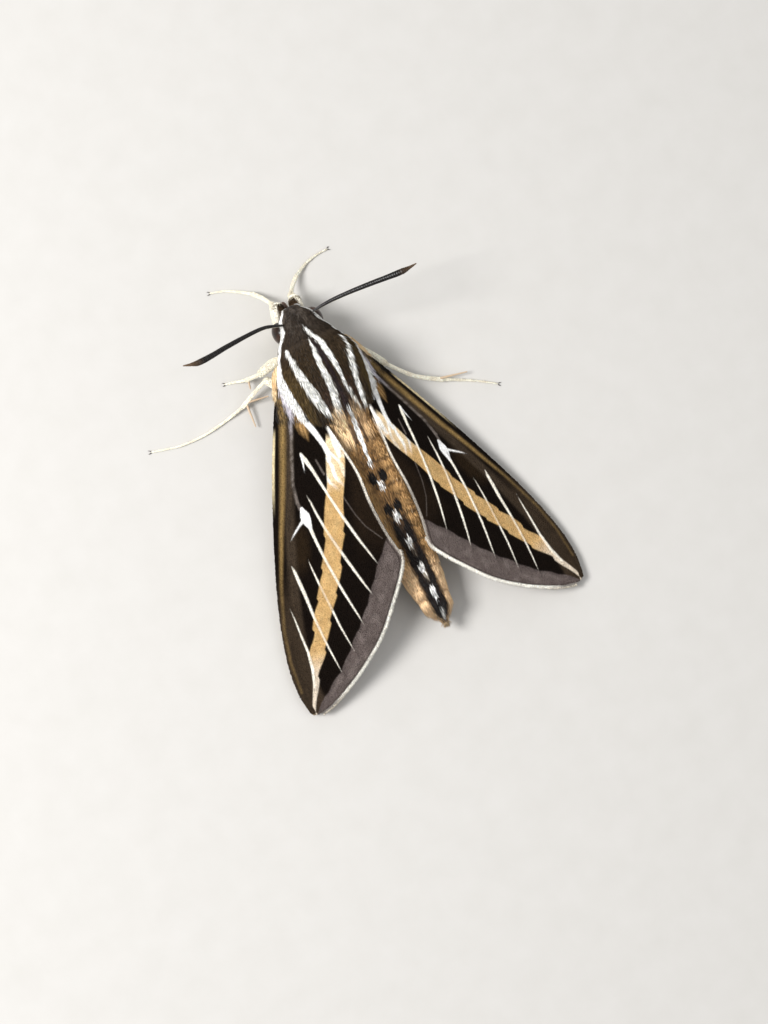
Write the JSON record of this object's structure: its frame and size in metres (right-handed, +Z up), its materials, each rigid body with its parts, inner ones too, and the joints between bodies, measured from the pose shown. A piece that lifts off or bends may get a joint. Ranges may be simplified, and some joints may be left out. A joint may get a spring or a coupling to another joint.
{
  "type": "hawk moth",
  "caption": "Life-size white-lined hawk moth at rest on its feet, striped forewings held like a low roof over a furry body, feelers spread sideways.",
  "frame": {"origin": "on the floor, below the middle of the moth's bounding box", "axes": "+Z up, +Y towards the head, +X towards the moth's right side"},
  "size_m": [0.0396, 0.0486, 0.0117],
  "materials": {
    "coat_brown": "olive-brown hair scales with cream stripes",
    "coat_tan": "tan hair scales with dark and white spots",
    "coat_pale": "cream-white flat scales",
    "wing_scales": "overlapping powdery scales, blackish brown with a tan band and white veins",
    "hindwing_scales": "overlapping powdery scales, black with a rose band",
    "cuticle_dark": "satin dark brown horn",
    "eye": "glossy dark facets"
  },
  "bodies": {
    "root": {"head": "coat_brown", "eye_left": "eye", "palp_left": "coat_pale", "antenna_left": "cuticle_dark", "tegula_left": "coat_brown", "forewing_left": "wing_scales", "hindwing_left": "hindwing_scales", "eye_right": "eye", "palp_right": "coat_pale", "antenna_right": "cuticle_dark", "tegula_right": "coat_brown", "forewing_right": "wing_scales", "hindwing_right": "hindwing_scales", "proboscis": "cuticle_dark", "thorax": "coat_brown", "abdomen_1": "coat_tan", "abdomen_2": "coat_tan", "abdomen_3": "coat_tan", "abdomen_4": "coat_tan", "tail_brush": "coat_tan", "foreleg_left_femur": "coat_pale", "foreleg_left_tibia": "coat_pale", "foreleg_left_tarsus": "coat_pale", "foreleg_right_femur": "coat_pale", "foreleg_right_tibia": "coat_pale", "foreleg_right_tarsus": "coat_pale", "midleg_left_femur": "coat_pale", "midleg_left_tibia": "coat_pale", "midleg_left_tarsus": "coat_pale", "midleg_right_femur": "coat_pale", "midleg_right_tibia": "coat_pale", "midleg_right_tarsus": "coat_pale", "hindleg_left_femur": "coat_pale", "hindleg_left_tibia": "coat_pale", "hindleg_left_tarsus": "coat_pale", "hindleg_right_femur": "coat_pale", "hindleg_right_tibia": "coat_pale", "hindleg_right_tarsus": "coat_pale"}
  },
  "joints": []
}
